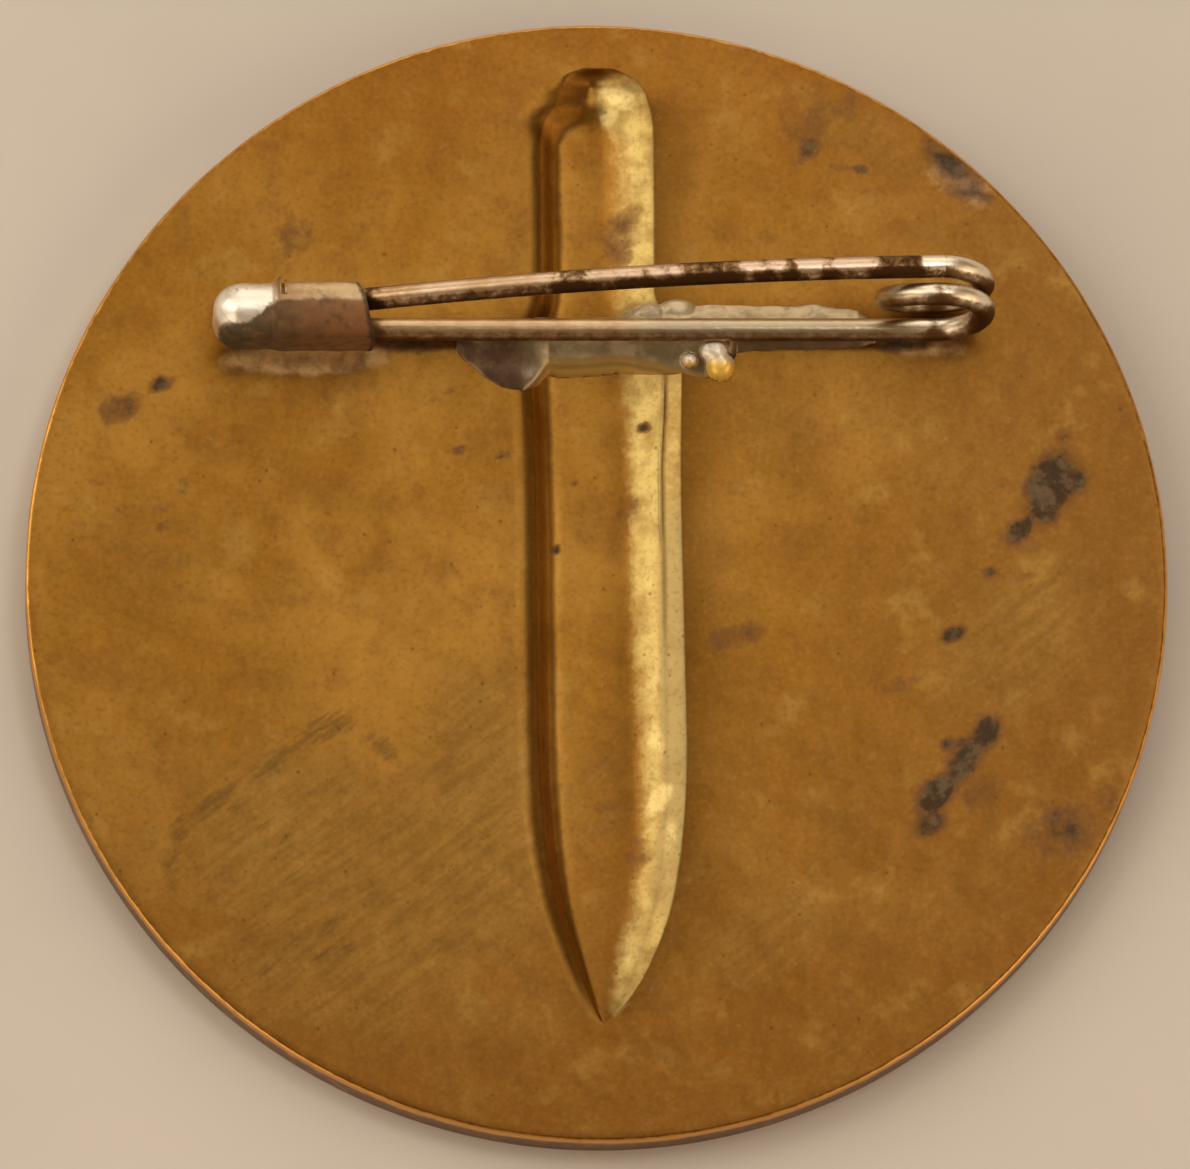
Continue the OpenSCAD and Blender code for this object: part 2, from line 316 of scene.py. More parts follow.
# Wide faint olive tarnish
TARNISH = [
    (-8.9, -7.3, 3.6, 2.8, 25, 0.8), (-6, -9.5, 6.5, 4, 30, 0.75),
    (-3.6, -6.2, 4.5, 1.8, 85, 0.8), (-2.2, -5.6, 2.9, 0.36, 90, 0.9),
    (4.5, -10.3, 3.5, 1.8, 25, 0.5),
    (11.8, -1.6, 3.4, 2.2, 60, 0.6), (-12.5, 1.2, 2.2, 2, 20, 0.3),
    (7.6, 12.9, 2.4, 1, -25, 0.45), (-9, 8.4, 2.5, 1.5, 20, 0.25),
    (6, 4.6, 3, 0.8, 0, 0.35),
]


def marks(x, y, table):
    """How strongly the table's marks cover each point, from 0 to 1."""
    cover = np.zeros_like(x)
    for at_x, at_y, half_len, half_wide, angle, strength in table:
        turn = math.radians(angle)
        along = (x - at_x) * math.cos(turn) + (y - at_y) * math.sin(turn)
        across = (y - at_y) * math.cos(turn) - (x - at_x) * math.sin(turn)
        reach = np.sqrt((along / half_len) ** 2 + (across / half_wide) ** 2)
        cover = np.maximum(cover, strength * (1 - smooth_step(0.3, 1.4, reach)))
    return cover


# The disc

RING_STEPS = 720
ROW_R = 15.0
# Columns lie close together within this distance of each of the blade's edges
COLUMN_MARGIN = 0.16
# Counts of columns, in turn between two edges and across an edge's margins, from left to right
BACK_COLUMNS = (44, 7, 4, 7, 16, 7, 7, 7, 5, 7, 44)
FRONT_COLUMNS = (12, 3, 2, 3, 4, 3, 3, 3, 2, 3, 12)
# The groove along the ridge: where along Y it starts and ends, its depth and its width
GROOVE_START, GROOVE_END = (0.6, 1.6), (5.4, 5.9)
GROOVE_DEPTH, GROOVE_W = 0.035, 0.045
# Swells of the worn back: height, size and seed of each, and between which radii they fade out
SWELLS = ((0.01, 5.5, 11), (0.005, 1.9, 12))
SWELL_FADE = (13.4, 14.9)
# Radii of the flat ring round the rows, and how uneven the outer edge is
FLAT_RINGS = (15.25, 15.5, 15.7)
EDGE_WEAR = 0.006
# Lengths over which the brown shade left and right of the blade fades, and its strength at the blade
SHADE_LEFT, SHADE_RIGHT = 0.6, 1.15
SHADE_MOST = 1.1
# Radii and heights over which the outer edge becomes bright with wear
BURNISH_R = (DISC_R - 0.13, DISC_R - 0.03)
BURNISH_Z = (BACK - 0.45, BACK - 0.15)


def disc_rows(spans):
    """Rows of points inside ROW_R, in columns that follow the blade's edges. spans counts the columns."""
    turn = np.radians(np.arange(RING_STEPS // 2 + 1) * 360 / RING_STEPS - 90)
    y = ROW_R * np.sin(turn)
    wide = ROW_R * np.cos(turn)
    edges = blade_row(y)[:, :5]
    edges = edges * np.minimum(1, 0.5 * wide / np.abs(edges).max(1))[:, None]
    margin = np.minimum(COLUMN_MARGIN, 0.4 * np.diff(edges, axis=1).min(1))[:, None]
    around = np.stack([edges - margin, edges + margin], 2).reshape(len(y), -1)
    knots = np.hstack([-wide[:, None], around, wide[:, None]])
    columns = [knots[:, :1]]
    for k, count in enumerate(spans):
        steps = (np.arange(count) + 1) / count
        columns.append(knots[:, k:k + 1] + (knots[:, k + 1:k + 2] - knots[:, k:k + 1]) * steps)
    return np.hstack(columns), y


class Skin:
    """Collects points and faces of one closed mesh."""

    def __init__(self):
        self.points = []
        self.faces = []

    def add(self, points):
        start = len(self.points)
        self.points.extend(points)
        return list(range(start, len(self.points)))

    def strip(self, one, two):
        """Quads between two closed rings of equal length."""
        n = len(one)
        for k in range(n):
            self.faces.append((one[k], one[(k + 1) % n], two[(k + 1) % n], two[k]))

    def sheet(self, x, y, z, up):
        """Rows of points whose first and last row are single points. Returns the outline, anticlockwise."""
        rows = []
        for i in range(len(y)):
            if i in (0, len(y) - 1):
                rows.append(self.add([(0, y[i], z[i, 0])]) * x.shape[1])
            else:
                rows.append(self.add(zip(x[i], np.full(x.shape[1], y[i]), z[i])))
        for low, high in zip(rows, rows[1:]):
            for j in range(x.shape[1] - 1):
                corners = [low[j], low[j + 1], high[j + 1], high[j]]
                corners = [c for k, c in enumerate(corners) if c != corners[k - 1]]
                self.faces.append(tuple(corners if up else corners[::-1]))
        return [row[-1] for row in rows] + [row[0] for row in rows[-2:0:-1]]


def back_layers(px, py, pz):
    """The named values that the bronze is painted by, at each point of the disc."""
    on_back = pz > BACK - RECESS_DEPTH - 0.1
    lip_l, foot_l, foot_r, ridge, lip_r = blade_row(py).T[:5]
    along_blade = within(BLADE[:2, 0], BLADE[[-3, -1], 0], py)
    inside = (px < lip_r + 0.03) * along_blade * on_back
    on_grip = smooth_step(*GRIP_START, py)
    grip_end = smooth_step(*GRIP_END, py)
    # the brown shade beside the blade, its thin line along the ridge, and the shade in the grip's end
    beside = np.where(px < lip_l, SHADE_MOST * np.exp(-(lip_l - px) / SHADE_LEFT), 0)
    beside = np.where(px > lip_r, SHADE_MOST * np.exp(-(px - lip_r) / SHADE_RIGHT), beside)
    line = (0.35 + 0.5 * smooth_step(-3, 0, py)) * np.exp(-(((px - ridge - 0.06) / 0.09) ** 2))
    beside = np.maximum(beside, line * (1 - on_grip)) * (1 - smooth_step(13.4, 14.3, py))
    beside = np.clip(np.maximum(beside, marks(px, py, SHADE)), 0, 1)
    # painted light on the shaded left wall, more of it towards the tip
    wall = within((lip_l - 0.1, lip_l + 0.02), (foot_l - 0.04, foot_l + 0.1), px)
    wall = wall * (0.34 + 0.66 * smooth_step(5.0, 10.0, -py)) * (1 - grip_end)
    # gold from the slope's foot on, partly less tarnished metal and partly a painted highlight of the lit
    # slope, less on the grip and right of the ridge near the solder
    slope = smooth_step(foot_r - 0.22, foot_r + 0.62 + 0.2 * on_grip - 0.5 * grip_end, px)
    slope = slope * (1 - 0.15 * on_grip)
    past_ridge = smooth_step(ridge - 0.05, ridge + 0.05, px) * smooth_step(-1, 3, py) * (1 - on_grip)
    # the greyer band right of the ridge, strongest in the middle of the blade
    band = smooth_step(ridge - 0.26, ridge + 0.02, px) * (1 - on_grip)
    band = band * smooth_step(-11, -7.5, py) * (1 - 0.75 * smooth_step(0.5, 3.5, py))
    low_tarnish = 0.3 * smooth_step(-3, 12, -py)
    edge = smooth_step(*BURNISH_R, np.hypot(px, py)) * (0.3 + 0.7 * smooth_step(*BURNISH_Z, pz))
    return {
        "slope": slope * (1 - 0.35 * past_ridge) * inside,
        "wall": wall * along_blade * on_back,
        "band": band * inside,
        "painted_highlight": marks(px, py, PAINTED_HIGHLIGHTS) * on_back,
        "beside": beside * along_blade * on_back,
        "stain": marks(px, py, STAINS) * on_back,
        "grime": marks(px, py, GRIME) * on_back,
        "dull_dirt_and_light": marks(px, py, DULL_DIRT_AND_LIGHT) * on_back,
        "tarnish": np.maximum(marks(px, py, TARNISH), low_tarnish) * on_back,
        "burnish": edge,
    }


def make_disc(material):
    skin = Skin()
    turn = np.radians(np.arange(RING_STEPS) * 360 / RING_STEPS - 90)

    def ring(r, z, wear=0.0):
        r = r - wear * EDGE_WEAR * ripple(np.cos(turn) * 9, np.sin(turn) * 9, 1.3, 5)
        return skin.add(zip(r * np.cos(turn), r * np.sin(turn), np.full(len(turn), z)))

    def rounded(angle, centre, wear=0.0):
        """A ring on the round of the outer edge, with its centre at this height."""
        out, up = EDGE_ROUND * math.cos(math.radians(angle)), EDGE_ROUND * math.sin(math.radians(angle))
        return ring(DISC_R - EDGE_ROUND + out, centre + up, wear)

    # the back, with the sunken blade
    x, y = disc_rows(BACK_COLUMNS)
    row_y = y[:, None] + 0 * x
    ridge = blade_row(y)[:, 3][:, None]
    groove_on = within(GROOVE_START, GROOVE_END, y)[:, None]
    groove = GROOVE_DEPTH * groove_on * np.exp(-(((x - ridge) / GROOVE_W) ** 2))
    swells = sum(height * ripple(x, row_y, size, seed) for height, size, seed in SWELLS)
    swells = swells * (1 - smooth_step(*SWELL_FADE, np.hypot(x, row_y)))
    top = skin.sheet(x, y, BACK - RECESS_DEPTH * blade_share(x, y) - groove + swells, up=True)
    # the outer edge, from the back round to the front rim
    high, inner = BACK - EDGE_ROUND, DISC_R - RIM_W
    rings = [top]
    rings += [ring(r, BACK) for r in FLAT_RINGS]
    rings += [rounded(angle, high, 1 - angle / 90) for angle in np.linspace(90, 0, 6)]
    rings += [ring(DISC_R, height, 1) for height in np.linspace(high, EDGE_ROUND, 8)[1:-1]]
    rings += [rounded(angle, EDGE_ROUND) for angle in np.linspace(0, -90, 6)]
    rings += [ring(r, height) for r, height in (
        (FLAT_RINGS[1], 0), (inner + 0.08, 0), (inner + 0.03, 0.02), (inner + 0.02, 0.08),
        (inner + 0.01, RIM_H - 0.06), (inner + 0.005, RIM_H - 0.02))]
    # the hidden front, with the same blade raised
    x, y = disc_rows(FRONT_COLUMNS)
    rings.append(skin.sheet(x, y, RIM_H - RELIEF_H * blade_share(x, y), up=False))
    for one, two in zip(rings, rings[1:]):
        skin.strip(two, one)
    points = np.array(skin.points, float)
    return finish_mesh("struck_disc", points, skin.faces, material, back_layers(*points.T))


# The wires

def sweep_tree():
    """Sweeps a round wire along the object's own line. Its radius is Wire Radius times the line's taper."""
    tree = bpy.data.node_groups.new("wire_along_line", "GeometryNodeTree")
    sockets = {"Line": "Geometry", "Wire Radius": "Float", "Sides": "Int", "Finish": "Material"}
    for name, kind in sockets.items():
        tree.interface.new_socket(name, in_out="INPUT", socket_type="NodeSocket" + kind)
    tree.interface.new_socket("Wire", in_out="OUTPUT", socket_type="NodeSocketGeometry")
    given = node(tree, "NodeGroupInput").outputs
    curve = node(tree, "GeometryNodeMeshToCurve", {"Mesh": given["Line"]})
    profile = node(tree, "GeometryNodeCurvePrimitiveCircle", {"Resolution": given["Sides"], "Radius": 1.0})
    taper = node(tree, "GeometryNodeInputNamedAttribute", {"Name": "taper"}, data_type="FLOAT")
    thick = node(tree, "ShaderNodeMath", {0: taper, 1: given["Wire Radius"]}, operation="MULTIPLY")
    wire = node(tree, "GeometryNodeCurveToMesh", {
        "Curve": curve, "Profile Curve": profile, "Scale": thick, "Fill Caps": True})
    # the normal's Y is stored as side, by which the steel paints shade on the wire's near side
    facing = node(tree, "ShaderNodeSeparateXYZ", {"Vector": node(tree, "GeometryNodeInputNormal")})
    sided = node(tree, "GeometryNodeStoreNamedAttribute", {
        "Geometry": wire, "Name": "side", "Value": facing.outputs["Y"]}, data_type="FLOAT", domain="POINT")
    for kind in ("SetShadeSmooth", "RealizeInstances"):
        sided = node(tree, "GeometryNode" + kind, {"Geometry": sided})
    dressed = node(tree, "GeometryNodeSetMaterial", {"Geometry": sided, "Material": given["Finish"]})
    node(tree, "NodeGroupOutput", {"Wire": dressed})
    return tree


def make_wire(name, line, taper, bare, tree, material):
    """A wire piece along a line of points in millimetres. bare is a value such as WIRE_BARE_AND_SHADE."""
    mesh = bpy.data.meshes.new(name + "_line")
    mesh.from_pydata((line * MM).tolist(), [(i, i + 1) for i in range(len(line) - 1)], [])
    give_values(mesh, {"taper": taper, "bare": bare_share(line[:, 0], *bare)})
    piece = placed(name, mesh)
    swept = piece.modifiers.new("sweep", "NODES")
    swept.node_group = tree
    given = {"Wire Radius": WIRE_R * MM, "Sides": WIRE_SIDES, "Finish": material}
    for socket in tree.interface.items_tree:
        if socket.name in given:
            swept[socket.identifier] = given[socket.name]
    return plain_mesh(piece)


def round_end(point, direction):
    """Points and tapers that close a wire with half a ball, from the full wire to the pole."""
    angles = np.radians(np.linspace(0, 89, END_POINTS)[1:])
    points = [np.asarray(point) + np.asarray(direction) * WIRE_R * math.sin(a) for a in angles]
    return points, [math.cos(a) for a in angles]


def fixed_wire_line():
    """The fixed wire and its one and a half turns of coil, up to where the needle is rooted."""
    z = BACK + WIRE_H
    line = [(x, PIN_Y, z) for x in np.arange(WIRE_LEFT, COIL_X - 0.05, WIRE_STEP)]
    lean = math.asin(COIL_PITCH / 4 / COIL_R)
    centre_z = z + COIL_R * math.cos(lean)
    for turned in np.linspace(0, COIL_TURN - NEEDLE_RISE, COIL_POINTS):
        half, rest = divmod(turned, 180)
        angle = math.radians(turned - 90)
        line.append((
            COIL_X + COIL_R * math.cos(angle),
            PIN_Y + COIL_PITCH / 2 * (half + (1 - math.cos(math.radians(rest))) / 2),
            centre_z + COIL_R * math.cos(lean) * math.sin(angle)))
    return np.array(line)


def needle_line():
    """The needle from its root to its point, straight at first, then bowed down, and its tapers."""
    level = -ROOT_AXIS * np.array([1, 1, 0])
    level = level / np.linalg.norm(level)
    total = NEEDLE_STUB + NEEDLE_LEN + POINT_LEN
    steps = np.linspace(0, total, NEEDLE_POINTS)
    line = [ROOT]
    for before, after in zip(steps, steps[1:]):
        bowed = np.clip((before + after) / 2 - NEEDLE_STUB, 0, NEEDLE_LEN) / NEEDLE_LEN
        rise = math.radians(NEEDLE_RISE - NEEDLE_BOW * bowed)
        heading = level * math.cos(rise) + np.array([0, 0, math.sin(rise)])
        line.append(line[-1] + heading * (after - before))
    taper = np.interp(steps, [0, total - POINT_LEN, total], [1, 1, POINT_R / WIRE_R])
    return np.array(line), taper


# How bare of plating a whole wire is, and stretches of it: from X, to X, how bare. Some stretches hold
# painted shade instead: at the hood's mouth and on the coil's right end
NEEDLE_BARE_AND_SHADE = (0.06, [
    # painted shadow where the needle leaves the hood's mouth
    (-6.55, -6.15, 0.95),
    (-1.3, -0.2, 0.5), (-0.2, 2.2, 0.3), (2.2, 4.0, 0.66), (4.0, 4.4, 0.1), (4.4, 4.9, 0.55),
    (4.9, 5.15, 0.1), (5.15, 5.6, 0.68), (5.6, 6.2, -0.05), (6.2, 6.6, 0.62), (6.6, 7.55, -0.05),
    (7.55, 7.8, 0.55), (7.8, 9.1, 0.72), (9.1, 10.6, -0.05),
])
# On the fixed wire: painted shadow at the hood's mouth, a darker stretch on the coil, and painted shade on
# the coil's right end
WIRE_BARE_AND_SHADE = (0.08, [(-6.6, -6.1, 0.95), (9.3, 9.75, 0.5), (10.72, 11.5, 0.66)])
# Length over which one stretch turns into the next
BARE_BLEND = 0.3


def bare_share(x, rest, stretches):
    share = np.full(len(x), rest)
    for start, end, much in stretches:
        inside = within((start - BARE_BLEND, start + BARE_BLEND), (end - BARE_BLEND, end + BARE_BLEND), x)
        share = share + (much - share) * inside
    return share


def make_pin_wire(tree, material):
    line = fixed_wire_line()
    start, start_taper = round_end(line[0], (-1, 0, 0))
    out = (line[-1] - line[-2]) / np.linalg.norm(line[-1] - line[-2])
    end, end_taper = round_end(line[-1], out)
    points = np.vstack([start[::-1], line, end])
    taper = start_taper[::-1] + [1] * len(line) + end_taper
    return make_wire("wire_and_coil", points, taper, WIRE_BARE_AND_SHADE, tree, material)


def make_needle(tree, material):
    line, taper = needle_line()
    start, start_taper = round_end(line[0], ROOT_AXIS)
    points = np.vstack([start[::-1], line])
    return make_wire("needle", points, start_taper[::-1] + list(taper), NEEDLE_BARE_AND_SHADE, tree, material)


# The solder

# Columns: place along the wire, lower edge, upper edge, height of its crest under the wire
SOLDER = np.array([
    [-3.95, 6.62, 7.05, 0.1],
    [-3.6, 6.22, 7.15, 0.22],
    [-3.2, 5.8, 7.3, 0.34],
    [-2.7, 5.48, 7.36, 0.44],
    [-2.05, 5.36, 7.38, 0.5],
    [-1.7, 5.75, 7.4, 0.52],
    [-1.3, 6.22, 7.42, 0.54],
    [0.6, 6.28, 7.45, 0.54],
    [1.0, 6.25, 7.7, 0.56],
    [1.5, 6.13, 7.86, 0.6],
    [3.0, 5.8, 7.9, 0.62],
    [3.78, 5.84, 7.88, 0.62],
    [3.98, 6.5, 7.88, 0.62],
    [6.5, 6.62, 7.84, 0.58],
    [7.4, 6.66, 7.7, 0.5],
    [7.9, 6.8, 7.3, 0.1],
])
# Thickness of the film at the solder's edge, and over what width its edge rises to it
FILM_H = 0.08
FILM_EDGE = 0.14
# How hollow the solder is from its film up to the wire, on the lower and on the upper side
HOLLOW = (2.0, 1.5)
# Width over which the solder's lower side thins out to bronze, and where along X that starts and stops
THIN_EDGE = 0.34
THIN_START, THIN_STOP = (-2.0, -1.2), (3.4, 4.0)
# How far the solder sags into the blade, which it bridges, how sharply its edge turns down to the floor,
# over what distance past its edge it lets go of the floor, and how steep its two ends are
SAG = 0.1
EDGE_FALL = 6.0
LETS_GO = (-0.05, 0.2)
END_FALL = 1.6
# How flat the top of a drop is, and the height over which a drop flows into what it lies on
DROP_SHAPE = 1.7
DROP_BLEND = 0.05
# Its mesh: step, reach past the table's ends and along Y, and how far below the ground it is cut off and ends
SOLDER_STEP, SOLDER_PAST = 0.04, 0.3
SOLDER_Y = (5.1, 8.3)
CUT_DEPTH, UNDERSIDE = 0.03, 0.06
# Drops: place along X and Y, reach to the left, reach to the right, half width, height of the top
DROPS = [
    (2.63, 6.26, 0.25, 0.25, 0.23, 0.33),
    (3.36, 6.54, 0.52, 0.44, 0.42, 0.42),
    (3.52, 6.12, 0.48, 0.42, 0.46, 0.38),
    (1.55, 7.6, 0.52, 0.52, 0.32, 0.28),
    (2.35, 7.72, 0.58, 0.48, 0.34, 0.28),
]


def solder_height(x, y):
    """Height of the solder above the back, falling off past its edges, how thin it is there,
    and how much of it is a drop."""
    low, high, crest = (np.interp(x, SOLDER[:, 0], SOLDER[:, k]) for k in (1, 2, 3))
    low = low + 0.03 * ripple(x, 0 * x, 0.9, 21)
    high = high + 0.03 * ripple(x, 0 * x, 0.8, 22)
    out = np.minimum(y - low, high - y)
    share = np.clip(np.where(y < PIN_Y, (y - low) / (PIN_Y - low), (high - y) / (high - PIN_Y)), 0, 1)
    film = np.minimum(FILM_H, crest) * (1 - np.exp(-np.maximum(out, 0) / FILM_EDGE))
    hollow = np.where(y < PIN_Y, *HOLLOW)
    past = FILM_H / FILM_EDGE * out - EDGE_FALL * out**2
    field = np.where(out > 0, film + (crest - film) * share**hollow, past)
    ends = np.minimum(x - SOLDER[0, 0], SOLDER[-1, 0] - x)
    field = np.minimum(field, END_FALL * ends)
    bed = field
    for at_x, at_y, to_left, to_right, half_wide, top in DROPS:
        half_len = np.where(x < at_x, to_left, to_right)
        reach = ((x - at_x) / half_len) ** 2 + ((y - at_y) / half_wide) ** 2
        field = np.logaddexp(field / DROP_BLEND, top * (1 - reach**DROP_SHAPE) / DROP_BLEND) * DROP_BLEND
    drop = smooth_step(0.01, 0.08, field - bed)
    thin = (1 - smooth_step(0, THIN_EDGE, np.minimum(out, ends))) * (y < PIN_Y) * (1 - drop)
    thin = thin * within(THIN_START, THIN_STOP, x)
    return field + 0.01 * ripple(x, y, 0.9, 23), thin, drop


def make_solder(material):
    """A mound on the back and across the blade, closed below, that wets the wire."""
    x = np.arange(SOLDER[0, 0] - SOLDER_PAST, SOLDER[-1, 0] + SOLDER_PAST, SOLDER_STEP)
    y = np.arange(*SOLDER_Y, SOLDER_STEP)
    gx, gy = np.meshgrid(x, y)
    past_edge = gy - np.interp(gx, SOLDER[:, 0], SOLDER[:, 1])
    sag = SAG + (RECESS_DEPTH - SAG) * (1 - smooth_step(*LETS_GO, past_edge))
    ground = np.maximum(-RECESS_DEPTH * blade_share(gx, y), -sag)
    top, thin, drop = solder_height(gx, gy)
    keep = top > ground - CUT_DEPTH
    solid = np.pad(keep[:-1, :-1] & keep[1:, :-1] & keep[:-1, 1:] & keep[1:, 1:], 1)
    top = np.maximum(top, ground - CUT_DEPTH)
    heights = (BACK + top, BACK + ground - UNDERSIDE)
    points = np.concatenate([np.stack([gx, gy, z], 2).reshape(-1, 3) for z in heights])
    wide = gx.shape[1]
    lower = gx.size
    faces = []
    for i, j in np.argwhere(solid):
        a = (i - 1) * wide + j - 1
        b, c, d = a + 1, a + wide + 1, a + wide
        faces += [(a, b, c, d), (lower + d, lower + c, lower + b, lower + a)]
        sides = ((a, b, i - 1, j), (c, d, i + 1, j), (d, a, i, j - 1), (b, c, i, j + 1))
        for one, two, row, column in sides:
            if not solid[row, column]:
                faces.append((two, one, lower + one, lower + two))
    used, faces = np.unique(faces, return_inverse=True)
    layers = {"thin": np.tile(thin.ravel(), 2)[used], "drop": np.tile(drop.ravel(), 2)[used]}
    return finish_mesh("soft_solder", points[used], faces.reshape(-1, 4).tolist(), material, layers)


# The hood

# Counts of faces round the section: across the cut, over the rest of the roof, down the near wall, round the
# floor, up to the slot, over the slot, and round the far lip
CUT_N, ROOF_N, WALL_N, FLOOR_N, LOW_N, SLOT_N, LIP_N = 6, 18, 8, 22, 4, 8, 8
SLOT_START = CUT_N + ROOF_N + WALL_N + FLOOR_N + LOW_N
# Where along X the shoulder between nose and roof starts and ends, and where its loops do
SHOULDER = (SHOULDER_X - 0.16, SHOULDER_X + 0.06)
SHOULDER_LOOPS = (SHOULDER_X - 0.2, SHOULDER_X + 0.08)
# Counts of loops along the nose, up to the shoulder, on the shoulder, and on to the mouth
NOSE_N, BODY_N, SHOULDER_N, MOUTH_N = 16, 8, 9, 24
# The nose's pole lies midway between these two points of the first loop
POLE_BETWEEN = (0, 40)
# How far the mouth's edge reaches past MOUTH_X, at some points round the section
MOUTH_PLACES = (0, 6, 16, 28, 34, 46, 58, 74)
MOUTH_REACH = (-0.32, -0.12, 0.05, 0.18, 0.06, -0.1, -0.2, -0.32)
# Height of the slight dents, and width and least angle of the deburred edges
DENT = 0.012
DEBURR, DEBURR_ANGLE = 0.035, 50
# Edges with more than this angle stay sharp to the light
SHARP_ANGLE = 42


def hood_section(x):
    """Size of the hood's section at a place along X: half width, middle, lower and upper centre height."""
    to_nose = 1 - smooth_step(*SHOULDER, x)
    r = HOOD_R + (NOSE_R - HOOD_R) * to_nose
    middle = HOOD_Y + (NOSE_Y - HOOD_Y) * to_nose
    top = HOOD_TOP - NOSE_DROP * to_nose - r
    low = HOOD_BASE + r
    if x < NOSE_X:
        r = math.sqrt(max(NOSE_R**2 - (NOSE_X - x) ** 2, 1e-6))
    return r, middle, low, top


def hood_loop(x):
    """Points round the section, from the folded edge over the roof, down, under, up and over the slot."""
    r, middle, low, top = hood_section(x)

    def arc(start, end, count, centre):
        return [(middle + r * math.cos(math.radians(a)), centre + r * math.sin(math.radians(a)))
                for a in np.linspace(start, end, count + 1)[:-1]]

    def wall(y, start, end, count):
        return [(y, z) for z in np.linspace(start, end, count + 1)[:-1]]

    slot = min(max(SLOT_LOW, low), top)
    return (
        arc(LIP_ANGLE, CUT_ANGLE, CUT_N, top) + arc(CUT_ANGLE, 180, ROOF_N, top)
        + wall(middle - r, top, low, WALL_N) + arc(180, 360, FLOOR_N, low)
        + wall(middle + r, low, slot, LOW_N) + wall(middle + r, slot, top, SLOT_N)
        + arc(0, LIP_ANGLE, LIP_N, top)
    )


def make_hood(material):
    nose = [NOSE_X - NOSE_R * math.sin(math.radians(a)) for a in np.linspace(89.5, 0, NOSE_N)]
    start, end = SHOULDER_LOOPS
    near = nose + list(np.linspace(NOSE_X, start, BODY_N)[1:]) + list(np.linspace(start, end, SHOULDER_N)[1:])
    cut_x = end + CUT_W
    xs = near + list(np.linspace(cut_x, MOUTH_X, MOUTH_N))
    loops = [hood_loop(x) for x in xs]
    count = len(loops[0])
    shift = np.interp(np.arange(count), MOUTH_PLACES, MOUTH_REACH)
    points = []
    mouth = []
    for x, loop in zip(xs, loops):
        share = max(0.0, (x - cut_x) / (MOUTH_X - cut_x))
        # the last loops carry the painted shadow inside the mouth
        mouth += [smooth_step(0.9, 1.0, share)] * count
        for k, (y, z) in enumerate(loop):
            out = DENT * ripple(x * 2, z * 2, 2.2, 31)
            points.append((x + shift[k] * share, y + out * (1 if y > HOOD_Y else -1), z + out * 0.5))
    points.append((xs[0] - 0.002, NOSE_Y, sum(loops[0][k][1] for k in POLE_BETWEEN) / 2))
    mouth.append(0)
    # faces between the loops, without the slot and the cut, and round the nose's pole
    faces = []
    first_cut = len(near) - 1
    for i in range(len(xs) - 1):
        for k in range(count):
            in_slot = k >= SLOT_START and i >= first_cut
            in_cut = k < CUT_N and i == first_cut
            if in_slot or in_cut:
                continue
            a, b = i * count + k, i * count + (k + 1) % count
            faces.append((a, b, b + count, a + count))
    faces += [(len(points) - 1, (k + 1) % count, k) for k in range(count)]
    # painted shade with dirt in it on the hood's near side, below a place along Y that runs from nose to roof
    at_x, at_y = np.array(points)[:, :2].T
    edge_y = NOSE_SHADE_AND_DIRT_Y + (ROOF_SHADE_AND_DIRT_Y - NOSE_SHADE_AND_DIRT_Y) * smooth_step(NOSE_X, SHOULDER_X, at_x)
    film = 1 - smooth_step(edge_y - SHADE_AND_DIRT_BLEND, edge_y + SHADE_AND_DIRT_BLEND, at_y)
    shell = finish_mesh("clasp_hood_shell", points, faces, material, {"film": film, "mouth": mouth})
    thick = shell.modifiers.new("sheet", "SOLIDIFY")
    thick.thickness = SHEET_T * MM
    thick.offset = -1
    edge = shell.modifiers.new("deburred", "BEVEL")
    edge.width = DEBURR * MM
    edge.segments = 2
    edge.limit_method = "ANGLE"
    edge.angle_limit = math.radians(DEBURR_ANGLE)
    plain_mesh(shell)
    shell.data.shade_smooth()
    shell.data.set_sharp_from_angle(angle=math.radians(SHARP_ANGLE))
    return shell


# Materials

def linear(hex_colour):
    """An sRGB hex colour as linear red, green, blue and alpha."""
    values = [int(hex_colour[i:i + 2], 16) / 255 for i in (1, 3, 5)]
    return [v / 12.92 if v <= 0.04045 else ((v + 0.055) / 1.055) ** 2.4 for v in values] + [1.0]


def node(tree, kind, inputs=None, **settings):
    """Adds one node with its settings and links. An input, by its name or number, takes a value,
    one of a node's outputs, or a node, which then gives the first output that is in use."""
    made = tree.nodes.new(kind)
    for name, value in settings.items():
        setattr(made, name, value)
    for key, value in (inputs or {}).items():
        socket = made.inputs[key] if isinstance(key, int) else next(
            s for s in made.inputs if s.enabled and s.name == key)
        if isinstance(value, bpy.types.Node):
            value = next(s for s in value.outputs if s.enabled)
        if isinstance(value, bpy.types.NodeSocket):
            tree.links.new(value, socket)
        else:
            socket.default_value = value
    return made


def per(size):
    """Scale of a pattern whose features are about size millimetres apart."""
    return 1 / (size * MM)


def new_finish(name):
    """An empty material, its tree, and the object's own coordinates in metres, in which its patterns lie."""
    material = bpy.data.materials.new(name)
    material.use_nodes = True
    material.node_tree.nodes.clear()
    return material, material.node_tree, node(material.node_tree, "ShaderNodeTexCoord").outputs["Object"]


def laid_over(tree, under, over, where, low, high, most=1.0):
    """Colour over lies on colour under as where goes from low to high, and covers it by most at the end."""
    under, over = (linear(c) if isinstance(c, str) else c for c in (under, over))
    share = node(tree, "ShaderNodeMapRange", {
        "Value": where, "From Min": low, "From Max": high, "To Max": most}, interpolation_type="SMOOTHSTEP")
    return node(tree, "ShaderNodeMix", {"Factor": share, "A": under, "B": over}, data_type="RGBA")


def coated(tree, body, coats):
    """The colour body with coats on it, the lowest first. A coat is what laid_over takes from over on."""
    for coat in coats:
        body = laid_over(tree, body, *coat)
    return body


